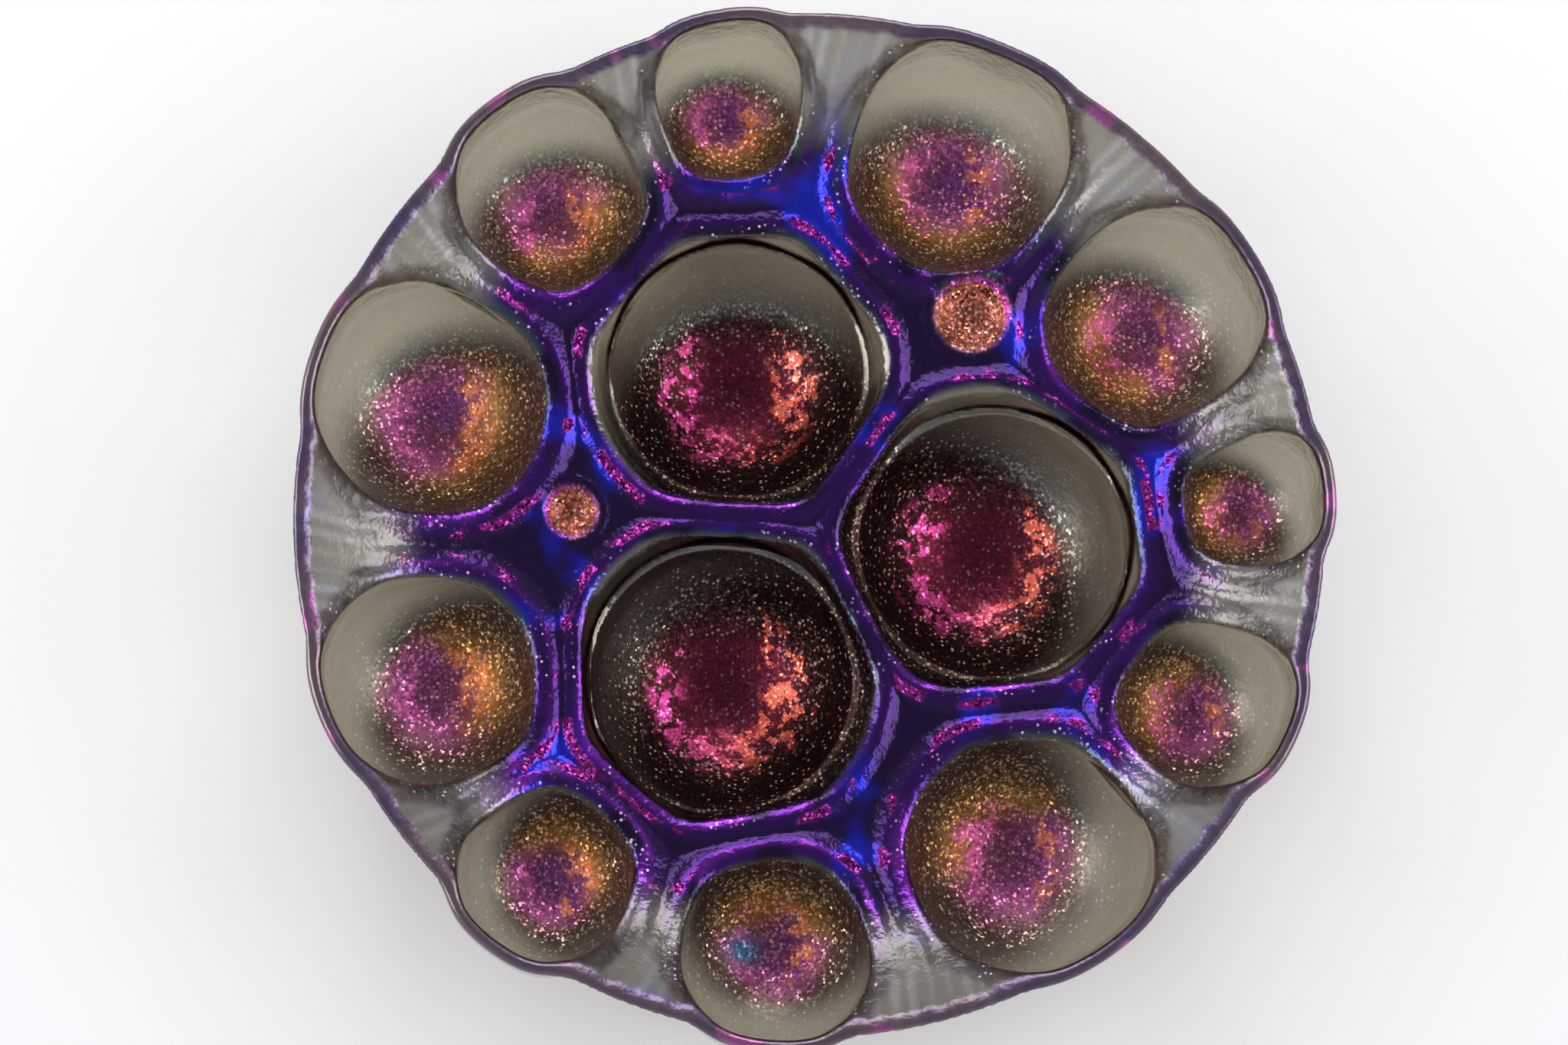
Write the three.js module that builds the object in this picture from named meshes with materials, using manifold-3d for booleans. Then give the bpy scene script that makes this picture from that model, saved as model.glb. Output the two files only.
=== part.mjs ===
// A carnival glass bowl: one pressing of iridised glass, modelled in millimetres with +Z up.
// Three deep round wells in the floor carry the bowl on flat feet, eleven wells climb the
// wall and scallop the rim, and two small dimples fill gaps in the web between the wells.
// The inside has no undercut, because the plunger that pressed it was drawn straight up.
import * as THREE from "three";
import { mergeVertices } from "three/addons/utils/BufferGeometryUtils.js";
import Module from "manifold-3d";

const wasm = await Module();
wasm.setup();

// Driving dimensions.
const RIM_HEIGHT = 65; // the flat top of the lip
const WELL_WALL = 3.5; // glass around a well
const WEB_THICKNESS = 3.6; // glass between the wells, measured square to the surface

// The web is a shallow dish whose inside rises as a power of its radius.
const WEB_HEIGHT = 33; // inside of the web at the axis
const WEB_RIM_RADIUS = 133.4; // inside of the web at the lip
const FLARE_POWER = 5.5;
const WEB_STEPS = 9;

// A floor well is a ball's lower part. Its inside bottom is FLOOR_WELL_BOTTOM above the table.
const FLOOR_WELL_BOTTOM = 2.7;
const FLOOR_WELLS = [
  { x: -18, y: 44.5, radius: 36 },
  { x: 51, y: -2.5, radius: 38.3 },
  { x: -22.3, y: -39.3, radius: 37.6 },
];

// A rim well is half a ball, centred at RIM_WELL_LEVEL and open straight up through the lip.
// Bearings are in degrees from +X towards +Y, and distance is from the axis to the ball's
// centre. The rim ring of the mould presses the well's outer side to the crown radius, so
// that the scallops have flat tops.
const RIM_WELL_LEVEL = 42;
const RIM_WELLS = [
  { bearing: 3.5, radius: 18.5, distance: 120.5, crown: 140.8 },
  { bearing: 31.5, radius: 28.5, distance: 110, crown: 139.8 },
  { bearing: 68, radius: 29.8, distance: 109.2, crown: 139.4 },
  { bearing: 100.5, radius: 20.5, distance: 118, crown: 140.2 },
  { bearing: 127.5, radius: 25.4, distance: 114.1, crown: 141.9 },
  { bearing: 161.5, radius: 31, distance: 106.8, crown: 140.3 },
  { bearing: 202.5, radius: 28.8, distance: 108.9, crown: 140.8 },
  { bearing: 233.5, radius: 23.5, distance: 116.8, crown: 143 },
  { bearing: 265.5, radius: 25.5, distance: 114, crown: 141.8 },
  { bearing: 304, radius: 32.4, distance: 105.4, crown: 140.3 },
  { bearing: 336, radius: 22.8, distance: 116.7, crown: 141.7 },
];

// A dimple is a shallow cap of a ball, pressed into the web.
const DIMPLES = [
  { x: 45.3, y: 59.9, mouth: 10, depth: 4.5 },
  { x: -63.3, y: 5.4, mouth: 7, depth: 3.5 },
];

// Facets.
const DEG = Math.PI / 180;
const WEB_SIDES = 60;
const RING_SIDES = 72;
const ARC_STEP = 15 * DEG; // along a well's arc, from its bottom to its equator
const SIDE_LENGTH = 9.5; // the longest facet around a well
const OVERLAP = 6; // how far the cavities run past the lip, so that they cut it cleanly

/** Height of the web's inside at a distance from the axis. */
function webHeight(r) {
  const rise = RIM_HEIGHT - WEB_HEIGHT;
  return WEB_HEIGHT + rise * Math.pow(r / WEB_RIM_RADIUS, FLARE_POWER);
}

/** Points of the web's inside from the axis outwards, moved square to the curve by offset. */
function webCurve(offset, rEnd) {
  const points = [];
  for (let i = 0; i <= WEB_STEPS; i++) {
    const r = rEnd * Math.pow(i / WEB_STEPS, 0.6); // closer together where the wall steepens
    const slope = (webHeight(r + 0.01) - webHeight(r)) / 0.01;
    const length = Math.hypot(1, slope);
    const x = i === 0 ? 0 : r + (offset * slope) / length;
    points.push(new THREE.Vector2(x, webHeight(r) - offset / length));
  }
  return points;
}

/** Turns a profile of (radius, height) points into a closed mesh around +Z, at x and y. */
function turned(profile, sides, x = 0, y = 0) {
  const geometry = new THREE.LatheGeometry(profile, sides);
  geometry.rotateX(Math.PI / 2);
  geometry.translate(x, y, 0);
  return geometry;
}

/** A closed three.js geometry as a solid for the booleans. */
function solidOf(geometry) {
  const bare = geometry.clone();
  bare.deleteAttribute("normal");
  bare.deleteAttribute("uv");
  const merged = mergeVertices(bare, 1e-4);
  const solid = new wasm.Manifold(
    new wasm.Mesh({
      numProp: 3,
      vertProperties: merged.attributes.position.array,
      triVerts: new Uint32Array(merged.index.array),
    }),
  );
  return solid;
}

/** A solid as a three.js geometry with flat facets. */
function geometryOf(solid) {
  const mesh = solid.getMesh();
  const geometry = new THREE.BufferGeometry();
  geometry.setAttribute("position", new THREE.BufferAttribute(mesh.vertProperties, 3));
  geometry.setIndex(new THREE.BufferAttribute(mesh.triVerts, 1));
  geometry.computeVertexNormals();
  return geometry;
}

/** The inside of the mould's rim ring, as an upright drum around the axis. */
function ring(radius) {
  const drum = new THREE.CylinderGeometry(radius, radius, 3 * RIM_HEIGHT, RING_SIDES);
  drum.rotateX(Math.PI / 2);
  return solidOf(drum);
}

/** A round-bottomed plug: the lower half of a ball, carried straight up to a flat top. */
function plug({ x, y, level, radius, crown }, growth, top) {
  const r = radius + growth;
  const steps = Math.round(Math.PI / 2 / ARC_STEP);
  const profile = [];
  for (let i = 0; i <= steps; i++) {
    const angle = (i / steps) * (Math.PI / 2);
    profile.push(new THREE.Vector2(i === 0 ? 0 : r * Math.sin(angle), level - r * Math.cos(angle)));
  }
  profile.push(new THREE.Vector2(r, top), new THREE.Vector2(0, top));
  const sides = 4 * Math.ceil((2 * Math.PI * radius) / SIDE_LENGTH / 4);
  const solid = solidOf(turned(profile, sides, x, y));
  return crown ? solid.intersect(ring(crown - WELL_WALL + growth)) : solid;
}

/** Every well and dimple as the ball it is pressed with: centre, level and radius. */
function balls() {
  const floor = FLOOR_WELLS.map((w) => ({ ...w, level: FLOOR_WELL_BOTTOM + w.radius }));
  const rim = RIM_WELLS.map(({ bearing, radius, distance, crown }) => {
    const x = distance * Math.cos(bearing * DEG);
    const y = distance * Math.sin(bearing * DEG);
    return { x, y, radius, crown, level: RIM_WELL_LEVEL };
  });
  const dimples = DIMPLES.map(({ x, y, mouth, depth }) => {
    const radius = (mouth * mouth + depth * depth) / (2 * depth);
    return { x, y, radius, level: webHeight(Math.hypot(x, y)) - depth + radius };
  });
  return [...floor, ...rim, ...dimples];
}

/** The dish between the wells, from its underside to the lip's height. */
function dish() {
  const profile = webCurve(WEB_THICKNESS, WEB_RIM_RADIUS);
  const last = profile[profile.length - 1];
  profile.push(new THREE.Vector2(last.x + 1, RIM_HEIGHT), new THREE.Vector2(0, RIM_HEIGHT));
  return solidOf(turned(profile, WEB_SIDES));
}

/** The open space above the web. */
function hollow() {
  const profile = webCurve(0, WEB_RIM_RADIUS);
  profile.push(new THREE.Vector2(WEB_RIM_RADIUS, RIM_HEIGHT + OVERLAP));
  profile.push(new THREE.Vector2(0, RIM_HEIGHT + OVERLAP));
  return solidOf(turned(profile, WEB_SIDES));
}

/** The slab under the table plane, which the feet are ground flat against. */
function table() {
  const size = 4 * WEB_RIM_RADIUS;
  const slab = new THREE.BoxGeometry(size, size, 10);
  slab.translate(0, 0, -5);
  return solidOf(slab);
}

function pressedBowl() {
  let glass = dish();
  for (const ball of balls()) glass = glass.add(plug(ball, WELL_WALL, RIM_HEIGHT));
  glass = glass.subtract(hollow());
  for (const ball of balls()) glass = glass.subtract(plug(ball, 0, RIM_HEIGHT + OVERLAP));
  return geometryOf(glass.subtract(table()));
}

const glassMaterial = new THREE.MeshStandardMaterial({
  color: 0x4a2a6e,
  roughness: 0.12,
  metalness: 0.35,
});

const bowl = new THREE.Mesh(pressedBowl(), glassMaterial);
bowl.name = "bowl";

// The origin is on the table, under the middle of the bowl's box.
const middle = new THREE.Box3().setFromObject(bowl).getCenter(new THREE.Vector3());
bowl.position.set(-middle.x, -middle.y, 0);

const part = new THREE.Group();
part.add(bowl);
export default part;
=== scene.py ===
"""A carnival glass bowl: smoky pressed glass with an iridescent film over its inside."""
import math

import bpy
import numpy as np
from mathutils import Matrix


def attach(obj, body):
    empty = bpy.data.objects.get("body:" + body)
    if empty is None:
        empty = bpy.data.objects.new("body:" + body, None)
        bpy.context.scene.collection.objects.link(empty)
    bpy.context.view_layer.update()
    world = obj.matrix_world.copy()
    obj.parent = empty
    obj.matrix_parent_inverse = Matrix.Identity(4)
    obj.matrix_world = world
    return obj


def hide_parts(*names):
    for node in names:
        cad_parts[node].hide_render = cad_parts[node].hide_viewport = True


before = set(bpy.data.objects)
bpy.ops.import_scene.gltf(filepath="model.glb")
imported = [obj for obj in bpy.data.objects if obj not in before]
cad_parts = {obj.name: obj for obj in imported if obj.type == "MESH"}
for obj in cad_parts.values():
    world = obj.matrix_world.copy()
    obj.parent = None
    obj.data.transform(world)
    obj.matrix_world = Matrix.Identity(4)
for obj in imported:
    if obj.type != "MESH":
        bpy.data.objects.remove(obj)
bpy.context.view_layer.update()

import openvdb
from mathutils import Matrix, Vector

MM = 0.001

# Driving dimensions, in millimetres, as the CAD bowl has them.
RIM_HEIGHT = 65.0
WELL_WALL = 3.5
WEB_THICKNESS = 3.6
WEB_HEIGHT = 33.0
WEB_RIM_RADIUS = 133.4
FLARE_POWER = 5.5
FLOOR_WELL_BOTTOM = 2.7
RIM_WELL_LEVEL = 42.0
FLOOR_WELLS = [(-18, 44.5, 36), (51, -2.5, 38.3), (-22.3, -39.3, 37.6)]  # x, y, radius
RIM_WELLS = [  # bearing in degrees, radius, distance from the axis, outer radius of the scallop
    (3.5, 18.5, 120.5, 140.8), (31.5, 28.5, 110, 139.8), (68, 29.8, 109.2, 139.4),
    (100.5, 20.5, 118, 140.2), (127.5, 25.4, 114.1, 141.9), (161.5, 31, 106.8, 140.3),
    (202.5, 28.8, 108.9, 140.8), (233.5, 23.5, 116.8, 143), (265.5, 25.5, 114, 141.8),
    (304, 32.4, 105.4, 140.3), (336, 22.8, 116.7, 141.7),
]
DIMPLES = [(45.3, 59.9, 10, 4.5), (-63.3, 5.4, 7, 3.5)]  # x, y, mouth radius, depth

# Shapes too fine for the CAD, in millimetres. A pair of radii is where a shape starts to
# change on the way out from the axis, and where it has changed.
CELL = 1.1  # size of the grid that the surface is drawn from
GRID_SLICE = 48  # columns of the grid worked out at once, to spare memory
SHOULDER_DEPTH = 5.0  # the bevelled mouth of a well starts this far under the web
SHOULDER_FLARE = 0.8
SHOULDER_INSET = 0.6
SHOULDER_FADE = (98, 122)
BEVEL_SLANT = 0.8  # turns a step across a bevel into a distance from it
NEIGHBOUR_GAP = 16.0  # wells this close flatten each other's walls
NEIGHBOUR_FADE = 8.0  # and do so in full when they are closer by this much
FLAT = 1.2  # a well's wall is pressed flat by this much where another well is near
FLAT_ROUND = 5.0
MOUTH_FLAT = 0.4
MOUTH_FLAT_ROUND = 4.0
FLOOR_MOUTH_GROWTH = 3.0  # a mouth is wider than its ball by this much
RIM_MOUTH_GROWTH = 0.8
COLLAR_RISE = 1.5  # the web climbs to a crest around a well's mouth, then falls to a valley
COLLAR_WIDTH = 3.6
COLLAR_FADE = (104, 120)
VALLEY_DROP = 2.2
VALLEY_WIDTH = 6.0
DIMPLE_FLAT = 0.2  # height of the flat around a dimple over the web
DIMPLE_FLAT_EDGE = (1, 4)  # how far outside a dimple's mouth the flat starts and stops to fade
MOUTH_ROUND = 2.2
UNDERSIDE_ROUND = 9.0
LIP_ROUND = 2.0
LIP_EDGE_ROUND = 0.6
FOOT_ROUND = 0.8
RIM_BLEND = 3.5  # the outer wall turns sharper than that between the scallops
RIM_BLEND_FROM = (112, 132)
RING_ROUND = 3.0
FLUTE = 0.28  # depth of the radial flutes in the fans between the rim wells
FLUTE_FROM = (96, 118)
FLUTE_WAVES = ((1.0, 83, 0.0), (0.7, 131, 1.0), (0.5, 59, 2.0))  # height, count around, phase

# Where the film changes, in millimetres or as shares of a well's radius.
FILM_EDGE = (0.4, 3.2)  # the film ends between these distances from the inside
WELL_EDGE = (-1.0, 1.2)  # a well's film starts, and is full, this much nearer to it than the web
RING_SHIFT = 0.10  # the film's rings lie off a well's middle, as a share of its radius
CLEAR_SHIFT = 0.35
CLEAR_EDGE = (0.78, 1.16)  # in a rim well
FLOOR_CLEAR_EDGE = (0.82, 1.22)
THIN_EDGE = (0.62, 1.0)  # the film of a rim well is thin near its mouth
THIN_INWARD, THIN_OUTWARD = 0.12, 0.30
RIM_CLEAR_PUSH = (0.8, 0.55)  # outwards, and towards the back
FLOOR_CLEAR = [  # for each floor well, towards where its wall is clear and by how much
    ((-0.15, 1.0), 1.0), ((0.90, 0.55), 0.75), ((-0.8, 0.6), 0.3),
]
CREASE_SHADE_DEPTH = (9, 6.5)  # a floor well's painted dark crease shade fades out between these under the web
FAN_FROM = (102, 121)
FAN_CLEAR = 0.9
LIP_FILM_DEPTH = (3.6, 1.6)  # the lip's own film starts between these under the rim
TEAL_SPOT = (-16, -112.5, 18)  # x, y, and the square of its reach
GAP_SCALE = 10  # the stored gap is 1 this far from a well's mouth

# The studio, in metres and degrees.
FLOOR_SIZE = 12
FLOOR_WHITE = (0.855, 0.865, 0.88)
LAMP_DISTANCE = 2.2
LAMP_ELEVATION = 31
LAMP_SIZE = (1.7, 1.0)
LAMP_COLOUR = (1.0, 0.985, 0.975)
LAMPS = [("right", 0, 20), ("left", 180, 23), ("back", 90, 20)]  # azimuth and watts
SKY_STRENGTH = 0.75
HORIZON = (0.35, (0.95, 0.95, 0.97))  # place on the sky's ramp, colour
OVERHEAD = (0.95, (0.56, 0.56, 0.60))
CAMERA_DISTANCE = 1.25
CAMERA_TILT = 7.5
CAMERA_LEAN = 3.0
CAMERA_AIM = (-6.65, 0.56, 50)  # in the bowl's own millimetres
CAMERA_LENS = 107.0

FLOOR, RIM, DIMPLE = 0, 1, 2


def web_height(r):
    """Height of the web's inside at a distance from the axis."""
    return WEB_HEIGHT + (RIM_HEIGHT - WEB_HEIGHT) * (r / WEB_RIM_RADIUS) ** FLARE_POWER


def web_slope(r):
    """Slope of the web's inside at a distance from the axis."""
    rise = RIM_HEIGHT - WEB_HEIGHT
    return rise * FLARE_POWER / WEB_RIM_RADIUS * (r / WEB_RIM_RADIUS) ** (FLARE_POWER - 1)


def all_wells():
    """Every well as the ball it is pressed with: x, y, level, radius, scallop radius, kind."""
    wells = [(x, y, FLOOR_WELL_BOTTOM + r, r, None, FLOOR) for x, y, r in FLOOR_WELLS]
    for bearing, r, distance, crown in RIM_WELLS:
        a = math.radians(bearing)
        x, y = distance * math.cos(a), distance * math.sin(a)
        wells.append((x, y, RIM_WELL_LEVEL, r, crown, RIM))
    for x, y, mouth, depth in DIMPLES:
        r = (mouth ** 2 + depth ** 2) / (2 * depth)
        wells.append((x, y, web_height(math.hypot(x, y)) - depth + r, r, None, DIMPLE))
    return wells


WELLS = all_wells()


def smooth_min(a, b, k):
    """The smaller of two distances, with the corner between them rounded."""
    h = np.maximum(k - np.abs(a - b), 0) / k
    return np.minimum(a, b) - h * h * k / 4


def smooth_max(a, b, k):
    return -smooth_min(-a, -b, k)


def smooth_step(low, high, v):
    t = np.clip((v - low) / (high - low), 0, 1)
    return t * t * (3 - 2 * t)


def neighbours(well):
    """Unit direction and nearness, 0 to 1, of each well near enough to flatten this one."""
    x, y, _, r, _, kind = well
    found = []
    if kind == DIMPLE:
        return found
    for other in WELLS:
        ox, oy, _, o_r, _, o_kind = other
        if other is well or o_kind == DIMPLE:
            continue
        away = math.hypot(ox - x, oy - y)
        gap = away - r - o_r
        if gap < NEIGHBOUR_GAP:
            nearness = min(1.0, (NEIGHBOUR_GAP - gap) / NEIGHBOUR_FADE)
            found.append(((ox - x) / away, (oy - y) / away, nearness))
    return found


NEIGHBOURS = [neighbours(w) for w in WELLS]


def flatten(shape, dx, dy, radius, near, amount, blend):
    """Presses a well's shape flat towards each of its neighbours."""
    for nx, ny, share in near:
        shape = smooth_max(shape, dx * nx + dy * ny - radius + amount * share, blend)
    return shape


def well_mouth_gap(x, y):
    """Distance in plan from the nearest well's mouth."""
    gap = None
    for (wx, wy, _, r, _, kind), near in zip(WELLS, NEIGHBOURS):
        if kind == DIMPLE:
            continue
        dx, dy = x - wx, y - wy
        d = np.hypot(dx, dy) - r - (FLOOR_MOUTH_GROWTH if kind == FLOOR else RIM_MOUTH_GROWTH)
        d = flatten(d, dx, dy, r, near, MOUTH_FLAT, MOUTH_FLAT_ROUND)
        gap = d if gap is None else np.minimum(gap, d)
    return gap


def web_top(x, y):
    """Height of the web's inside with its collars and flutes."""
    r = np.hypot(x, y)
    inner = 1 - smooth_step(*COLLAR_FADE, r)
    gap = well_mouth_gap(x, y)
    collar = COLLAR_RISE * smooth_step(-COLLAR_WIDTH, COLLAR_WIDTH, gap)
    collar = collar - VALLEY_DROP * smooth_step(COLLAR_WIDTH, COLLAR_WIDTH + VALLEY_WIDTH, gap)
    start, stop = DIMPLE_FLAT_EDGE
    for dx, dy, mouth, _ in DIMPLES:  # a dimple sits in a level flat
        flat = 1 - smooth_step(mouth + start, mouth + stop, np.hypot(x - dx, y - dy))
        collar = collar + (DIMPLE_FLAT - collar) * flat
    bearing = np.arctan2(y, x)
    flute = sum(height * np.sin(bearing * count + phase) for height, count, phase in FLUTE_WAVES)
    return web_height(r) + collar * inner + FLUTE * flute * smooth_step(*FLUTE_FROM, r)


def bevelled(ball, dx, dy, z, radius, near, flare, base):
    """A floor well's ball joined with the cone that bevels its mouth."""
    cone_radius = radius - SHOULDER_INSET + np.maximum(z - base, 0) * flare
    across = (np.hypot(dx, dy) - cone_radius) * BEVEL_SLANT
    cone = np.maximum(across, (base - z) * BEVEL_SLANT)
    cone = flatten(cone, dx, dy, radius, near, MOUTH_FLAT, MOUTH_FLAT_ROUND)
    return np.minimum(ball, cone)


def cavity(x, y, z):
    """Signed distance to the open space inside the bowl, negative in the open, and its parts."""
    r = np.hypot(x, y)
    slant = 1 / np.sqrt(1 + web_slope(r) ** 2)
    web = (web_top(x, y) - z) * slant
    flare = SHOULDER_FLARE * (1 - smooth_step(*SHOULDER_FADE, r))
    base = web_height(r) - SHOULDER_DEPTH
    wells = None
    for (wx, wy, level, radius, crown, kind), near in zip(WELLS, NEIGHBOURS):
        dx, dy = x - wx, y - wy
        ball = np.hypot(np.hypot(dx, dy), np.minimum(z - level, 0)) - radius
        ball = flatten(ball, dx, dy, radius, near, FLAT, FLAT_ROUND)
        if kind == FLOOR:
            ball = bevelled(ball, dx, dy, z, radius, near, flare, base)
        if kind == RIM:
            ball = smooth_max(ball, r - crown + WELL_WALL, RING_ROUND)
        wells = ball if wells is None else np.minimum(wells, ball)
    return smooth_min(web, wells, MOUTH_ROUND), web, wells


def outside(x, y, z):
    """Signed distance to the bowl's outer shape, filled solid, negative inside it."""
    r = np.hypot(x, y)
    slant = 1 / np.sqrt(1 + web_slope(r) ** 2)
    shape = (web_height(r) - z) * slant - WEB_THICKNESS
    blend = UNDERSIDE_ROUND - (UNDERSIDE_ROUND - RIM_BLEND) * smooth_step(*RIM_BLEND_FROM, r)
    for wx, wy, level, radius, crown, kind in WELLS:
        plan = np.hypot(x - wx, y - wy)
        ball = np.hypot(plan, np.minimum(z - level, 0)) - radius - WELL_WALL
        if kind == RIM:
            ball = smooth_max(ball, r - crown, RING_ROUND)
        shape = smooth_min(shape, ball, blend)
    return shape


def glass(x, y, z):
    """Signed distance to the glass, negative inside it."""
    wall = smooth_max(outside(x, y, z), -cavity(x, y, z)[0], LIP_EDGE_ROUND)
    lip = smooth_max(wall, z - RIM_HEIGHT, LIP_ROUND)
    return smooth_max(lip, -z, FOOT_ROUND)


def grid_points():
    """Places of the grid's columns along x and y, and of its levels."""
    half = max(crown for _, _, _, crown in RIM_WELLS) + 4
    count = int(math.ceil(2 * half / CELL))
    along = (np.arange(count, dtype=np.float32) - (count - 1) / 2) * np.float32(CELL)
    up = np.arange(-3 * CELL, RIM_HEIGHT + 4 * CELL, CELL, dtype=np.float32)
    return along, up


def draw_surface():
    """Vertices, in millimetres, and four-sided faces of the glass."""
    along, up = grid_points()
    values = np.empty((len(along), len(along), len(up)), np.float32)
    for start in range(0, len(along), GRID_SLICE):
        part = along[start:start + GRID_SLICE]
        distances = glass(part[:, None, None], along[None, :, None], up[None, None, :])
        values[start:start + GRID_SLICE] = distances
    grid = openvdb.FloatGrid(background=5.0)
    grid.copyFromArray(values)
    points, quads = grid.convertToQuads(isovalue=0.0)
    corner = np.array([along[0], along[0], up[0]])
    return points.astype(np.float64) * CELL + corner, quads


def settle(points, rounds=3):
    """Moves points onto the exact surface along its gradient."""
    e = 0.05
    for _ in range(rounds):
        x, y, z = points.T
        value = glass(x, y, z)
        slope = np.stack([
            glass(x + e, y, z) - glass(x - e, y, z),
            glass(x, y + e, z) - glass(x, y - e, z),
            glass(x, y, z + e) - glass(x, y, z - e),
        ], axis=1) / (2 * e)
        size = np.maximum((slope ** 2).sum(1), 0.25)
        step = np.clip(value / size, -CELL / 2, CELL / 2)
        points = points - step[:, None] * slope
    return points


def build_glass():
    """The glass as a mesh centred on its own box, with its points in the bowl's millimetres."""
    points, quads = draw_surface()
    points = settle(points)
    middle = (points.min(axis=0) + points.max(axis=0)) / 2
    shift = np.array((middle[0], middle[1], 0.0))
    mesh = bpy.data.meshes.new("bowl_glass")
    mesh.vertices.add(len(points))
    mesh.vertices.foreach_set("co", ((points - shift) * MM).ravel())
    mesh.loops.add(quads.size)
    mesh.loops.foreach_set("vertex_index", quads.ravel().astype(np.int32))
    mesh.polygons.add(len(quads))
    mesh.polygons.foreach_set("loop_start", np.arange(0, quads.size, 4, dtype=np.int32))
    mesh.update(calc_edges=True)
    mesh.polygons.foreach_set("use_smooth", np.ones(len(quads), bool))
    obj = bpy.data.objects.new("bowl_glass", mesh)
    bpy.context.scene.collection.objects.link(obj)
    return obj, points, Vector(shift)


def clear_side(number):
    """Direction and amount in which a well's wall is left clear of film."""
    x, y, _, _, _, kind = WELLS[number]
    if kind == FLOOR:
        side, amount = FLOOR_CLEAR[number]
        return Vector(side).normalized(), amount
    away = math.hypot(x, y)
    out, back = RIM_CLEAR_PUSH
    return Vector((out * x / away, out * y / away + back)).normalized(), 1.0


def off_middle(dx, dy, side, shift, radius):
    """Distance from a point off a well's middle, as a share of the well's radius."""
    shift = shift * radius
    return np.hypot(dx + shift * side.x, dy + shift * side.y) / radius


def crease_line(dx, dy, z, radius, side, inside):
    """Painted shade: the dark line high on a floor well's clear side, where the wall turns to the
    bevel.
    """
    deep, shallow = CREASE_SHADE_DEPTH
    turn = 1 - smooth_step(0.3, 0.9, np.abs(np.hypot(dx, dy) - radius + 0.2))
    turn = turn * smooth_step(-0.2, 0.35, (dx * side.x + dy * side.y) / radius)
    return turn * smooth_step(WEB_HEIGHT - deep, WEB_HEIGHT - shallow, z) * (np.abs(inside) < 1)


def paint_wells(x, y, z, inside):
    """What the nearest well gives each point, as named numbers."""
    names = ("ring", "clear", "floor_well", "dimple", "inward", "crease")
    out = {name: np.zeros(len(x)) for name in names}
    nearest = np.full(len(x), 1e9)
    for number, (wx, wy, _, radius, _, kind) in enumerate(WELLS):
        dx, dy = x - wx, y - wy
        plan = np.hypot(dx, dy)
        mine = plan - radius < nearest
        nearest = np.where(mine, plan - radius, nearest)
        found = {"floor_well": float(kind == FLOOR), "dimple": float(kind == DIMPLE), "clear": 0}
        if kind == DIMPLE:
            found["ring"] = plan / radius
        else:
            side, amount = clear_side(number)
            found["ring"] = off_middle(dx, dy, side, RING_SHIFT, radius)
            edge = off_middle(dx, dy, side, CLEAR_SHIFT, radius)
        if kind == FLOOR:
            found["clear"] = amount * smooth_step(*FLOOR_CLEAR_EDGE, edge)
            found["crease"] = crease_line(dx, dy, z, radius, side, inside)
        if kind == RIM:
            out_share = (dx * wx + dy * wy) / (math.hypot(wx, wy) * radius)
            found["inward"] = -out_share
            thin = THIN_INWARD + THIN_OUTWARD * smooth_step(-0.5, 0.4, out_share)
            thin = thin * smooth_step(*THIN_EDGE, plan / radius)
            found["clear"] = amount * np.maximum(smooth_step(*CLEAR_EDGE, edge), thin)
        for name, value in found.items():
            out[name] = np.where(mine, value, out[name])
    return out


def paint(points):
    """What the material needs to know at each point of the surface, as named numbers."""
    x, y, z = points.T
    inside, web, wells = cavity(x, y, z)
    r = np.hypot(x, y)
    well = smooth_step(*WELL_EDGE, web - wells)
    near = paint_wells(x, y, z, inside)
    fan = smooth_step(*FAN_FROM, r) * (1 - well)
    bearing = np.arctan2(y, x) + 0.0012 * (r - 110)
    # painted light: lighter streaks across the fans, along their flutes
    light_streak = np.sin(bearing * 97) * np.sin(bearing * 61 + 1)
    light_streak = light_streak + 0.6 * np.sin(bearing * 173 + r * 0.05)
    lip_low, lip_high = (RIM_HEIGHT - depth for depth in LIP_FILM_DEPTH)
    spot_x, spot_y, spot_spread = TEAL_SPOT
    return {
        "film": 1 - smooth_step(*FILM_EDGE, np.abs(inside)),
        "well": well,
        "ring": near["ring"],
        "clear": np.maximum(near["clear"] * well, fan * FAN_CLEAR),
        "floor_well": near["floor_well"] * well,
        "dimple": near["dimple"] * well,
        "fan": fan,
        "lip": smooth_step(lip_low, lip_high, z) * smooth_step(-0.1, 0.5, inside),
        "crease": near["crease"],
        "light_streak": np.clip(light_streak, 0, 1) * fan,
        "inward": near["inward"],
        "teal": np.exp(-((x - spot_x) ** 2 + (y - spot_y) ** 2) / spot_spread),
        "gap": np.clip(well_mouth_gap(x, y) / GAP_SCALE, 0, 1),
    }


def store(obj, values):
    """Keeps named numbers on a mesh's points, for the material."""
    for name, column in values.items():
        layer = obj.data.attributes.new(name, "FLOAT", "POINT")
        layer.data.foreach_set("value", np.asarray(column, np.float32))


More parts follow.
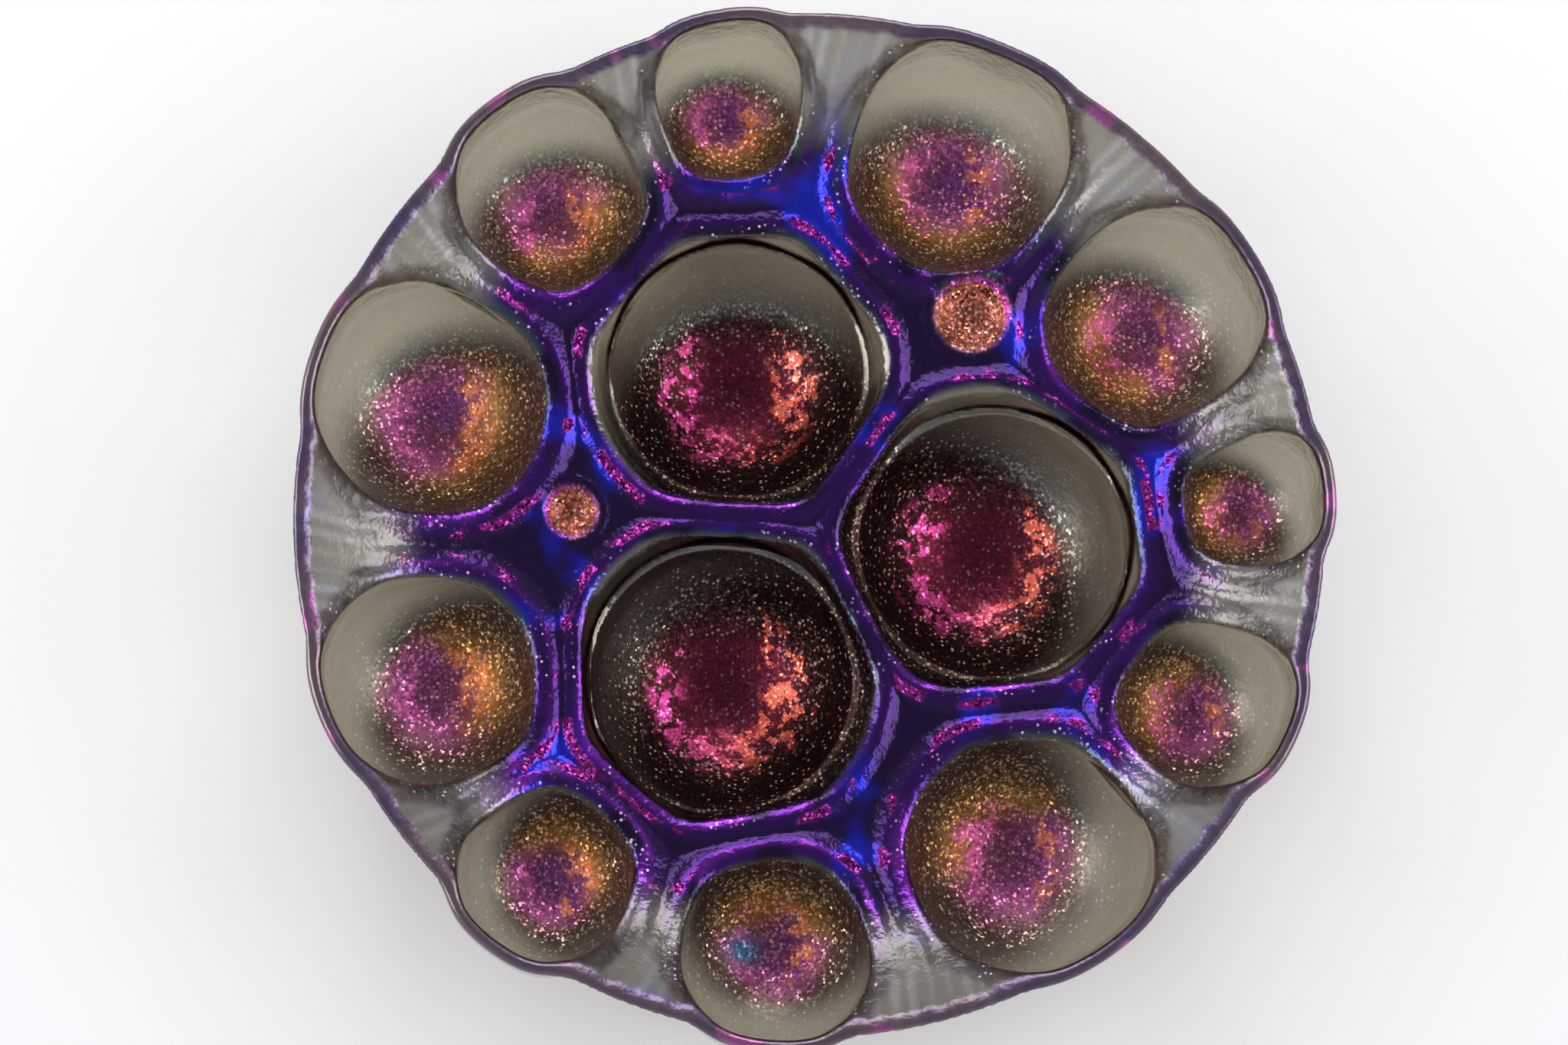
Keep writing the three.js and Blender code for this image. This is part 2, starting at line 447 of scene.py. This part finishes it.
class Tree:
    """A material's nodes, added by short calls."""

    def __init__(self, name):
        self.material = bpy.data.materials.new(name)
        self.material.use_nodes = True
        self.nodes = self.material.node_tree.nodes
        self.nodes.clear()

    def add(self, kind, sockets=None, **settings):
        node = self.nodes.new(kind)
        for key, value in settings.items():
            setattr(node, key, value)
        for key, value in (sockets or {}).items():
            if isinstance(value, bpy.types.NodeSocket):
                self.material.node_tree.links.new(value, node.inputs[key])
            else:
                node.inputs[key].default_value = value
        return node

    def attribute(self, name):
        return self.add("ShaderNodeAttribute", attribute_name=name).outputs["Fac"]

    def maths(self, operation, a, b=0.0, c=0.0, clamp=False):
        sockets = {0: a, 1: b, 2: c}
        return self.add("ShaderNodeMath", sockets, operation=operation, use_clamp=clamp).outputs[0]

    def times(self, a, b):
        return self.maths("MULTIPLY", a, b)

    def larger(self, a, b):
        return self.maths("MAXIMUM", a, b)

    def scaled(self, a, factor, plus):
        """a times factor, plus another number."""
        return self.maths("MULTIPLY_ADD", a, factor, plus)

    def rest(self, a):
        """What a leaves of 1."""
        return self.maths("SUBTRACT", 1.0, a)

    def vector(self, operation, sockets):
        return self.add("ShaderNodeVectorMath", sockets, operation=operation).outputs[0]

    def fit(self, value, low, high, to_low=0.0, to_high=1.0):
        """A smooth step from low to high, or down from one to the other where low is larger."""
        sockets = {
            "Value": value, "From Min": low, "From Max": high, "To Min": to_low, "To Max": to_high,
        }
        node = self.add("ShaderNodeMapRange", sockets, interpolation_type="SMOOTHSTEP")
        return node.outputs["Result"]

    def mix(self, factor, a, b):
        node = self.add("ShaderNodeMix", data_type="RGBA", clamp_factor=True)
        for socket, value in ((node.inputs[0], factor), (node.inputs[6], a), (node.inputs[7], b)):
            if isinstance(value, bpy.types.NodeSocket):
                self.material.node_tree.links.new(value, socket)
            else:
                socket.default_value = value if socket.type == "VALUE" else (*value, 1)
        return node.outputs[2]

    def ramp(self, factor, stops):
        node = self.add("ShaderNodeValToRGB", {"Fac": factor})
        elements = node.color_ramp.elements
        while len(elements) < len(stops):
            elements.new(0.5)
        for element, (place, colour) in zip(elements, stops):
            element.position = place
            element.color = (*colour, 1)
        return node.outputs["Color"]

    def noise(self, where, scale, detail=2.0, roughness=0.5):
        sockets = {"Vector": where, "Scale": scale, "Detail": detail, "Roughness": roughness}
        return self.add("ShaderNodeTexNoise", sockets).outputs["Fac"]

    def cells(self, where, scale):
        """Irregular cells: the node, and its random numbers for each cell."""
        node = self.add("ShaderNodeTexVoronoi", {"Vector": where, "Scale": scale})
        return node, self.add("ShaderNodeSeparateColor", {0: node.outputs["Color"]}).outputs


RIM_RINGS = [  # the film's colours from a rim well's middle to its mouth
    (0.00, (0.160, 0.040, 0.085)),
    (0.22, (0.180, 0.038, 0.125)),
    (0.38, (0.300, 0.062, 0.190)),
    (0.52, (0.240, 0.080, 0.140)),
    (0.66, (0.150, 0.085, 0.080)),
    (0.82, (0.140, 0.105, 0.085)),
    (1.00, (0.050, 0.030, 0.045)),
]
GOLD_RINGS = [  # the same on the side of a rim well that faces the bowl's middle
    (0.00, (0.160, 0.040, 0.085)),
    (0.24, (0.230, 0.060, 0.075)),
    (0.38, (0.330, 0.120, 0.055)),
    (0.54, (0.280, 0.140, 0.055)),
    (0.70, (0.150, 0.085, 0.045)),
    (0.86, (0.100, 0.066, 0.052)),
    (1.00, (0.040, 0.022, 0.035)),
]
FLOOR_RINGS = [
    (0.00, (0.075, 0.0030, 0.025)),
    (0.22, (0.095, 0.0035, 0.024)),
    (0.36, (0.110, 0.0060, 0.022)),
    (0.48, (0.060, 0.0060, 0.014)),
    (0.60, (0.030, 0.0060, 0.010)),
    (0.74, (0.028, 0.0100, 0.010)),
    (0.90, (0.040, 0.0200, 0.020)),
    (1.00, (0.020, 0.0140, 0.020)),
]
# The film's other colours, with painted highlights, painted reflection and painted shade among
# them. Where there are two, the first is on a well's right wall.
PLUM = (0.12, 0.025, 0.20)
# painted highlights on a rim well's left and right walls
RIM_HIGHLIGHT = (0.72, 0.21, 0.09), (0.66, 0.12, 0.36)
# painted highlights in a floor well's ragged patches
FLOOR_HIGHLIGHT = (0.92, 0.15, 0.10), (0.80, 0.07, 0.32)
CLEAR_WALL = (0.050, 0.060, 0.075)
DIMPLE_COPPER = (0.17, 0.045, 0.030)
DIMPLE_MAGENTA = (0.22, 0.010, 0.16)
TEAL = (0.02, 0.16, 0.30)
# painted shade along the crease where a floor well's wall turns to its bevel
CREASE_SHADE = (0.006, 0.004, 0.006)
NAVY = (0.020, 0.006, 0.060)
COLLAR_NAVY = (0.048, 0.008, 0.16)
DARK_NAVY = (0.012, 0.006, 0.04)
# painted reflection of brighter surroundings in the web's film
ELECTRIC_BLUE_REFLECTION = (0.015, 0.024, 0.62)
# painted highlights on the collars, in the film's violet and grey teal
VIOLET_HIGHLIGHT = (0.19, 0.020, 0.38)
TEAL_HIGHLIGHT = (0.045, 0.065, 0.09)
ROSE = (0.19, 0.010, 0.17)
LIP_VIOLET = (0.080, 0.040, 0.14)
LIP_MAUVE = (0.18, 0.11, 0.16)
LIP_BLUE = (0.04, 0.05, 0.34)
# painted glints on the lip
LIP_PINK_GLINT = (0.42, 0.08, 0.34)
# The glass itself, and what it lets through of a lamp's light.
SMOKE = (0.505, 0.480, 0.365)
FAN_SMOKE = (0.38, 0.37, 0.315)
# painted light streaks in the fans' tint
STREAK_LIGHT = (0.68, 0.70, 0.70)
GLASS_SHADE = (0.80, 0.77, 0.68)
FILM_SHADE = (0.10, 0.06, 0.12)
# Painted glints: the colours of pale dots that stand in for sparkles.
WHITE = (1, 1, 1)
GOLD_SPARK = (0.85, 0.55, 0.36)
PINK_SPARK = (0.95, 0.62, 0.72)
PALE_SPARK = (0.80, 0.84, 0.88)
VIOLET_SPARK = (0.82, 0.55, 0.92)

# How fine the noise is, in patches to a metre.
PLUM_NOISE, BROAD_NOISE, RAGGED_NOISE, FINE_NOISE = 34, 70, 210, 420
BLUE_NOISE, DARK_NOISE, WEB_GLINT_NOISE, ROSE_NOISE, VIOLET_NOISE = 38, 55, 62, 75, 120
LIP_NOISE, LIP_GLINT_NOISE = 22, 48
DENT_NOISE, SMALL_DENT_NOISE = 260, 900
SPARK_SCALE, STIPPLE_SCALE = 700.0, 1500.0
RING_UNEVEN = 0.30  # how far noise shifts the film's rings
DENT_SIZE = 0.0006  # metres
GLASS_IOR = 1.5
FILM_METAL = 0.98


class GlassTree(Tree):
    """The glass's nodes, with what paint() has stored and what several looks share."""

    def __init__(self):
        super().__init__("carnival_glass")
        self.where = self.add("ShaderNodeTexCoord").outputs["Object"]
        normal = self.add("ShaderNodeNewGeometry").outputs["Normal"]
        lean = self.add("ShaderNodeSeparateXYZ", {0: normal}).outputs
        self.lean_x, self.lean_y = lean["X"], lean["Y"]
        self.film, self.well, self.fan = (self.attribute(n) for n in ("film", "well", "fan"))
        self.lip, self.crease, self.gap = (self.attribute(n) for n in ("lip", "crease", "gap"))
        self.floor_well, self.dimple = self.attribute("floor_well"), self.attribute("dimple")
        self.clear, self.ring = self.attribute("clear"), self.attribute("ring")
        self.broad = self.spread(BROAD_NOISE, 3)
        self.ragged = self.spread(RAGGED_NOISE, 5, 0.65)

    def spread(self, scale, detail=2.0, roughness=0.5):
        """Noise over the whole bowl."""
        return self.noise(self.where, scale, detail, roughness)

    def shifted(self, noise, amount, value):
        """A value pushed up and down by noise."""
        return self.scaled(self.maths("SUBTRACT", noise, 0.5), amount, value)

    def band(self, value, start, full, fall, end):
        """1 between full and fall, and 0 before start and past end."""
        return self.times(self.fit(value, start, full), self.fit(value, end, fall))


def rim_well_colour(t, uneven_ring):
    golden = t.fit(t.shifted(t.broad, 0.8, t.attribute("inward")), 0.0, 0.36)
    colour = t.mix(golden, t.ramp(uneven_ring, RIM_RINGS), t.ramp(uneven_ring, GOLD_RINGS))
    plum = t.times(t.fit(t.spread(PLUM_NOISE, 1), 0.54, 0.66), t.fit(uneven_ring, 0.55, 0.30))
    colour = t.mix(t.times(plum, 0.5), colour, PLUM)
    # Painted highlights: on its left and right walls, which face the side lamps, the film
    # brightens in ragged patches.
    leaning = t.fit(t.maths("ABSOLUTE", t.lean_x), 0.12, 0.24)
    highlight_blotch = t.times(t.fit(t.ragged, 0.47, 0.55), leaning)
    highlight_blotch = t.times(highlight_blotch, t.band(t.ring, 0.12, 0.22, 0.40, 0.54))
    return t.mix(t.times(highlight_blotch, 0.8), colour, t.mix(t.fit(t.lean_x, -0.16, 0.16), *RIM_HIGHLIGHT))


def floor_highlights(t):
    """Painted highlights: where a floor well's film breaks into ragged rosy patches as its wall
    turns up, on the walls that face the side lamps and, less, on those that face the back lamp.
    """
    highlight_patch = t.times(t.fit(t.ragged, 0.50, 0.56), t.band(t.ring, 0.18, 0.32, 0.50, 0.66))
    sides = t.fit(t.maths("ABSOLUTE", t.lean_x), 0.20, 0.36)
    below = t.times(t.fit(t.lean_y, 0.28, 0.40), 0.55)
    return t.times(highlight_patch, t.larger(sides, below))


def well_colour(t, highlight_patch):
    uneven_ring = t.shifted(t.broad, RING_UNEVEN, t.ring)
    uneven_ring = t.shifted(t.spread(FINE_NOISE, 4, 0.6), RING_UNEVEN, uneven_ring)
    uneven_ring = t.maths("MULTIPLY", uneven_ring, 1.0, clamp=True)
    # painted highlight colours: orange-red on a floor well's right wall, pink on its left
    highlight_colour = t.mix(t.fit(t.lean_x, -0.30, 0.30), *FLOOR_HIGHLIGHT)
    floor_colour = t.mix(highlight_patch, t.ramp(uneven_ring, FLOOR_RINGS), highlight_colour)
    colour = t.mix(t.floor_well, rim_well_colour(t, uneven_ring), floor_colour)
    upper = t.times(t.fit(t.clear, 0.02, 0.3), t.fit(t.lean_y, -0.05, -0.35))
    colour = t.mix(upper, colour, CLEAR_WALL)
    dimple_colour = t.mix(t.fit(t.ring, 0.69, 0.78), DIMPLE_COPPER, DIMPLE_MAGENTA)
    colour = t.mix(t.dimple, colour, dimple_colour)
    colour = t.mix(t.attribute("teal"), colour, TEAL)
    # painted shade: the dark line along a floor well's crease
    return t.mix(t.crease, colour, CREASE_SHADE)


def rosy_places(t):
    """Where the web falls away from a collar, it is stippled and rosy in places."""
    falling = t.times(t.band(t.gap, 0.34, 0.42, 0.62, 0.72), t.rest(t.fan))
    return t.times(falling, t.fit(t.spread(ROSE_NOISE), 0.52, 0.58))


def web_colour(t, rosy):
    """Navy with electric blue patches of painted reflection, and painted highlights: violet where
    the web leans one way and teal where the other.
    """
    lean = t.scaled(t.lean_x, 0.45, t.times(t.lean_y, 0.9))
    colour = t.mix(t.fit(t.gap, 0.75, 0.25), NAVY, COLLAR_NAVY)
    # painted reflection: electric blue patches where the film would mirror brighter surroundings
    colour = t.mix(t.fit(t.spread(BLUE_NOISE), 0.52, 0.66), colour, ELECTRIC_BLUE_REFLECTION)
    uneven = t.fit(t.spread(VIOLET_NOISE, 3), 0.36, 0.62, 0.25, 1.0)
    # painted highlights near a well's mouth: violet on slopes that lean back and right, grey teal
    # on those that lean the other way
    violet_highlight = t.times(t.fit(lean, 0.04, 0.32), t.times(uneven, t.fit(t.gap, 0.52, 0.36)))
    colour = t.mix(violet_highlight, colour, VIOLET_HIGHLIGHT)
    teal = t.times(t.fit(lean, -0.08, -0.40), t.fit(t.gap, 0.40, 0.30))
    colour = t.mix(teal, colour, TEAL_HIGHLIGHT)
    colour = t.mix(rosy, colour, ROSE)
    dark = t.times(t.fit(t.gap, 0.45, 0.2), t.fit(t.spread(DARK_NOISE), 0.55, 0.40))
    return t.mix(dark, colour, DARK_NAVY)


def lip_colour(t):
    tint = t.spread(LIP_NOISE)
    colour = t.mix(t.fit(tint, 0.40, 0.60), LIP_VIOLET, LIP_MAUVE)
    colour = t.mix(t.fit(tint, 0.38, 0.32), colour, LIP_BLUE)
    # painted glints: pink flecks over the lip's film
    return t.mix(t.fit(t.spread(LIP_GLINT_NOISE), 0.60, 0.66), colour, LIP_PINK_GLINT)


def film_strength(t, clear):
    """How metallic the surface is: full film, thinner where the glass shows through."""
    metal = t.times(t.film, t.rest(t.times(clear, 0.9)))
    metal = t.larger(metal, t.times(t.lip, 0.85))
    return t.times(metal, FILM_METAL)


def painted_glints(t, in_well, quiet):
    """Painted glints: fine pale specks, less metallic and less see-through, on the wells' film and
    in patches of the web near the mouths.
    """
    spots, numbers = t.cells(t.where, SPARK_SCALE)
    glint_dot = t.fit(spots.outputs["Distance"], 0.36, 0.22)
    glint_dot = t.times(glint_dot, t.fit(numbers["Red"], 0.40, 0.85))
    glint = t.times(glint_dot, t.times(in_well, t.film))
    fewer = t.fit(t.floor_well, 0.0, 1.0, -0.30, -0.66)
    glint = t.times(glint, t.scaled(quiet, fewer, 1.0))
    glinting_web = t.times(t.fit(t.spread(WEB_GLINT_NOISE), 0.49, 0.56), t.fit(t.gap, 0.42, 0.34))
    glinting_web = t.times(glinting_web, t.times(t.rest(t.well), t.fit(t.film, 0.5, 0.9)))
    glinting_web = t.times(glinting_web, t.rest(t.lip))
    return t.larger(glint, t.times(glint_dot, glinting_web)), glinting_web


def glint_colour(t, film_colour, clear, glinting_web):
    warm = t.mix(t.fit(t.ring, 0.62, 0.48), GOLD_SPARK, PINK_SPARK)
    colour = t.mix(clear, t.mix(0.65, film_colour, warm), PALE_SPARK)
    return t.mix(glinting_web, colour, VIOLET_SPARK)


def surface_normal(t, clear, stipple, lively, stippled, rosy):
    """The surface's direction, with soft dents and with facets that lean each its own way."""
    cast = t.scaled(lively, t.fit(t.floor_well, 0.0, 1.0, 0.60, 0.35), 0.14)
    reach = t.times(t.larger(cast, rosy), t.times(stippled, t.film))
    reach = t.times(reach, t.fit(clear, 0.0, 0.5, 1.0, 0.15))
    tilt = t.vector("SUBTRACT", {0: stipple.outputs["Color"], 1: (0.5, 0.5, 0.5)})
    tilt = t.vector("SCALE", {0: tilt, "Scale": reach})
    dents = t.scaled(t.spread(SMALL_DENT_NOISE), 0.28, t.spread(DENT_NOISE))
    depth = t.scaled(t.scaled(t.well, -0.5, 0.75), t.film, 0.06)
    sockets = {"Height": dents, "Strength": depth, "Distance": DENT_SIZE}
    bump = t.add("ShaderNodeBump", sockets)
    facing = t.vector("ADD", {0: bump.outputs[0], 1: tilt})
    return t.vector("NORMALIZE", {0: facing})


def surface_roughness(t, in_well, lively):
    calm = t.scaled(t.rest(lively), 0.24, 0.08)
    rough = t.scaled(t.times(in_well, t.film), calm, 0.10)
    rough = t.scaled(t.larger(t.lip, t.fan), 0.14, rough)
    return t.scaled(t.rest(t.well), t.times(t.film, 0.07), rough)


def glass_material():
    t = GlassTree()
    highlight_patch = floor_highlights(t)
    rosy = rosy_places(t)
    film_colour = t.mix(t.well, web_colour(t, rosy), well_colour(t, highlight_patch))
    film_colour = t.mix(t.lip, film_colour, lip_colour(t))
    clear = t.times(t.clear, t.rest(t.larger(t.lip, t.crease)))
    metal = film_strength(t, clear)
    # painted light streaks lighten the fans' tint
    tint = t.mix(t.times(t.attribute("light_streak"), 0.5), t.mix(t.fan, SMOKE, FAN_SMOKE), STREAK_LIGHT)

    # Fine stipple: small facets, a few of which stand up enough to sparkle.
    stipple, numbers = t.cells(t.where, STIPPLE_SCALE)
    in_well = t.times(t.well, t.fit(t.ring, 1.02, 0.94))
    stippled = t.larger(in_well, rosy)
    quiet = t.times(t.floor_well, t.fit(t.ring, 0.55, 0.35))
    quiet = t.larger(t.fit(clear, 0.12, 0.50), quiet)
    lively = t.fit(numbers["Blue"], 0.66, 0.74)
    lively = t.times(lively, t.scaled(t.times(quiet, t.rest(highlight_patch)), -0.75, 1.0))
    grain = t.maths("POWER", numbers["Green"], 2.0)
    grain = t.scaled(grain, t.scaled(t.dimple, 2.0, 0.6), 0.8)
    grain = t.times(grain, t.scaled(lively, 1.1, 0.85))
    grain = t.mix(stippled, WHITE, grain)
    colour = t.mix(metal, tint, film_colour)
    colour = t.mix(metal, colour, t.vector("MULTIPLY", {0: colour, 1: grain}))
    glint, glinting_web = painted_glints(t, in_well, quiet)
    shine = glint_colour(t, film_colour, clear, glinting_web)
    # painted glints: pale dots mixed into the colour
    colour = t.mix(t.times(glint, 0.9), colour, shine)

    surface = t.add("ShaderNodeBsdfPrincipled", {
        "Base Color": colour,
        "Metallic": t.times(metal, t.scaled(glint, -0.8, 1.0)),
        "Roughness": surface_roughness(t, in_well, lively),
        "IOR": GLASS_IOR,
        "Transmission Weight": t.rest(t.times(glint, 0.9)),
        "Normal": surface_normal(t, clear, stipple, lively, stippled, rosy),
    })
    # A lamp's light passes straight through, tinted, so that the shadow has no noise.
    shade = t.mix(t.times(metal, t.scaled(glint, -0.8, 1.0)), GLASS_SHADE, FILM_SHADE)
    lamp_light = t.add("ShaderNodeBsdfTransparent", {"Color": shade})
    path = t.add("ShaderNodeLightPath")
    both = t.add("ShaderNodeMixShader", {
        0: path.outputs["Is Shadow Ray"], 1: surface.outputs[0], 2: lamp_light.outputs[0],
    })
    t.add("ShaderNodeOutputMaterial", {"Surface": both.outputs[0]})
    return t.material


def plain_material(name, colour, roughness):
    t = Tree(name)
    sockets = {"Base Color": (*colour, 1), "Roughness": roughness}
    shader = t.add("ShaderNodeBsdfPrincipled", sockets)
    t.add("ShaderNodeOutputMaterial", {"Surface": shader.outputs[0]})
    return t.material


def make_bowl():
    bowl, points, shift = build_glass()
    store(bowl, paint(points))
    bowl.data.materials.append(glass_material())
    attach(bowl, "root")
    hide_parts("bowl")
    return shift


def make_floor():
    mesh = bpy.data.meshes.new("floor")
    half = FLOOR_SIZE / 2
    corners = [(-half, -half, 0), (half, -half, 0), (half, half, 0), (-half, half, 0)]
    mesh.from_pydata(corners, [], [(0, 1, 2, 3)])
    floor = bpy.data.objects.new("floor", mesh)
    bpy.context.scene.collection.objects.link(floor)
    mesh.materials.append(plain_material("floor", FLOOR_WHITE, 0.9))


def make_softbox(name, azimuth, power):
    """A large lamp that isn't seen itself and points at the bowl."""
    data = bpy.data.lights.new(name, "AREA")
    data.shape = "RECTANGLE"
    data.size, data.size_y = LAMP_SIZE
    data.energy = power
    data.color = LAMP_COLOUR
    lamp = bpy.data.objects.new(name, data)
    a, e = math.radians(azimuth), math.radians(LAMP_ELEVATION)
    towards = Vector((math.cos(a) * math.cos(e), math.sin(a) * math.cos(e), math.sin(e)))
    lamp.location = towards * LAMP_DISTANCE
    lamp.rotation_euler = (-lamp.location).to_track_quat("-Z", "Y").to_euler()
    lamp.visible_camera = False
    bpy.context.scene.collection.objects.link(lamp)


def make_world():
    """A studio that is pale at the horizon and dim overhead."""
    world = bpy.data.worlds.new("studio")
    world.use_nodes = True
    nodes, links = world.node_tree.nodes, world.node_tree.links
    nodes.clear()
    where = nodes.new("ShaderNodeTexCoord")
    split = nodes.new("ShaderNodeSeparateXYZ")
    ramp = nodes.new("ShaderNodeValToRGB")
    for element, (place, colour) in zip(ramp.color_ramp.elements, (HORIZON, OVERHEAD)):
        element.position = place
        element.color = (*colour, 1)
    background = nodes.new("ShaderNodeBackground")
    background.inputs["Strength"].default_value = SKY_STRENGTH
    output = nodes.new("ShaderNodeOutputWorld")
    links.new(where.outputs["Generated"], split.inputs[0])
    links.new(split.outputs["Z"], ramp.inputs["Fac"])
    links.new(ramp.outputs["Color"], background.inputs["Color"])
    links.new(background.outputs[0], output.inputs["Surface"])
    bpy.context.scene.world = world


def make_camera(shift):
    """Nearly straight down, from a little to the front and left of the bowl."""
    data = bpy.data.cameras.new("camera")
    camera = bpy.data.objects.new("camera", data)
    bpy.context.scene.collection.objects.link(camera)
    bpy.context.scene.camera = camera
    aim = (Vector(CAMERA_AIM) - shift) * MM
    left, front = math.sin(math.radians(CAMERA_LEAN)), math.sin(math.radians(CAMERA_TILT))
    camera.location = aim + Vector((-left, -front, 1.0)).normalized() * CAMERA_DISTANCE
    view = (aim - camera.location).normalized()
    right = view.cross(Vector((0, 1, 0))).normalized()
    camera.rotation_euler = Matrix((right, right.cross(view), -view)).transposed().to_euler()
    data.sensor_width = 36
    data.lens = CAMERA_LENS
    data.clip_end = 20


shift = make_bowl()
make_floor()
for name, azimuth, power in LAMPS:
    make_softbox(name, azimuth, power)
make_world()
make_camera(shift)
bpy.context.scene.view_settings.view_transform = "Standard"
